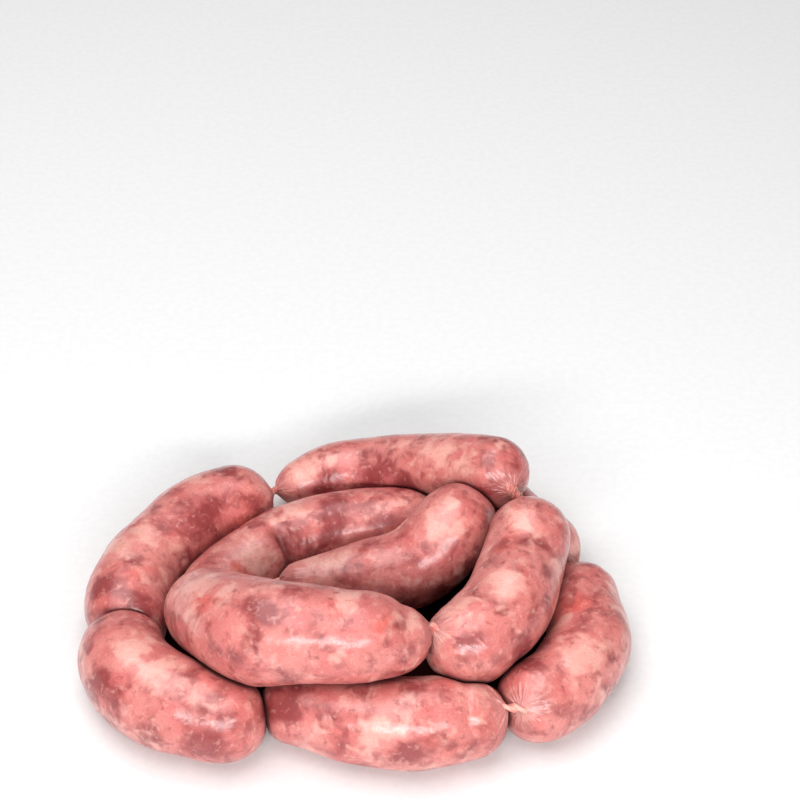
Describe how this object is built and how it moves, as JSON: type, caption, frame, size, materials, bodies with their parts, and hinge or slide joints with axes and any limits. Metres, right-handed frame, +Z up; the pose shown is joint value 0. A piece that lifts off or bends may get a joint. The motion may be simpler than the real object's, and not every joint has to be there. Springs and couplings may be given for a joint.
{
  "type": "string of sausage links",
  "caption": "Heaped string of fresh pork sausage links in natural casing, pinched and twisted between links, lying in a loose coil with some links crossing on top.",
  "frame": {"origin": "middle of the heap's footprint, on the surface it lies on", "axes": "+Z up, +X to the right and -Y towards the viewer of the picture; the heap is widest along X and lowest along Z"},
  "size_m": [0.2294, 0.1863, 0.0713],
  "materials": {
    "pork_in_casing": "moist natural casing over coarse pink pork with pale fat",
    "bare_casing": "moist, thin, half clear"
  },
  "bodies": {
    "root": {"link_01": "pork_in_casing", "link_02": "pork_in_casing", "link_03": "pork_in_casing", "link_04": "pork_in_casing", "link_05": "pork_in_casing", "link_06": "pork_in_casing", "link_07": "pork_in_casing", "link_08": "pork_in_casing", "link_09": "pork_in_casing", "link_10": "pork_in_casing", "twist_01": "bare_casing", "twist_02": "bare_casing", "twist_03": "bare_casing", "twist_04": "bare_casing", "twist_05": "bare_casing", "twist_06": "bare_casing", "twist_07": "bare_casing", "twist_08": "bare_casing", "twist_09": "bare_casing", "tail_01": "bare_casing", "tail_02": "bare_casing"}
  },
  "joints": []
}
